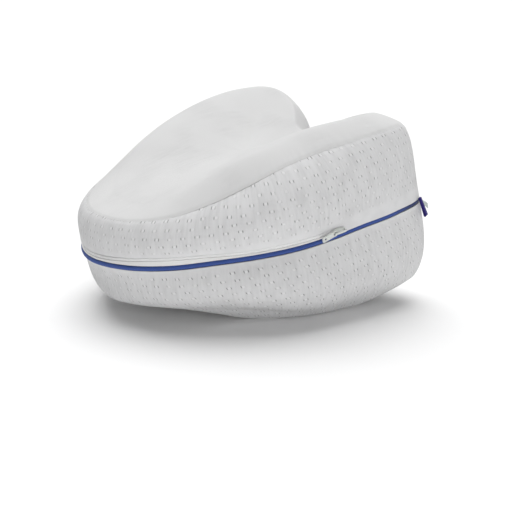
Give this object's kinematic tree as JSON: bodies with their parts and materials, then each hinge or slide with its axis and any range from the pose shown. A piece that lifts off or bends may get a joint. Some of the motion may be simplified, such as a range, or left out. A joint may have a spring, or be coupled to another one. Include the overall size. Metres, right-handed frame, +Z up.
{
  "type": "knee pillow",
  "caption": "Contoured foam knee pillow with a narrow end, high lobes, a leg channel above and below, eyelet knit sides, blue piping and a zip.",
  "frame": {"origin": "middle of the outline at the surface the pillow rests on", "axes": "+X towards the wide end with the two lobes, +Y across, +Z up; the pillow lies on its underside, its middle plane tilted 9 degrees with the wide end up"},
  "size_m": [0.2574, 0.2428, 0.1561],
  "materials": {
    "side_knit": "matt white eyelet knit",
    "panel_knit": "matt smooth white knit",
    "piping_cloth": "matt blue covered cord",
    "zip_tape": "matt white woven tape",
    "zip_coil": "satin white nylon",
    "slider_lacquer": "glossy white lacquer",
    "loop_ribbon": "satin indigo ribbon",
    "label_cloth": "matt pale satin"
  },
  "bodies": {
    "root": {"pillow_body": "side_knit", "top_panel": "panel_knit", "bottom_panel": "panel_knit", "piping": "piping_cloth", "zip_tape": "zip_tape", "zip_chain": "zip_coil", "zip_slider": "slider_lacquer", "zip_pull": "slider_lacquer", "ribbon_loop": "loop_ribbon", "bare_label": "label_cloth"}
  },
  "joints": []
}
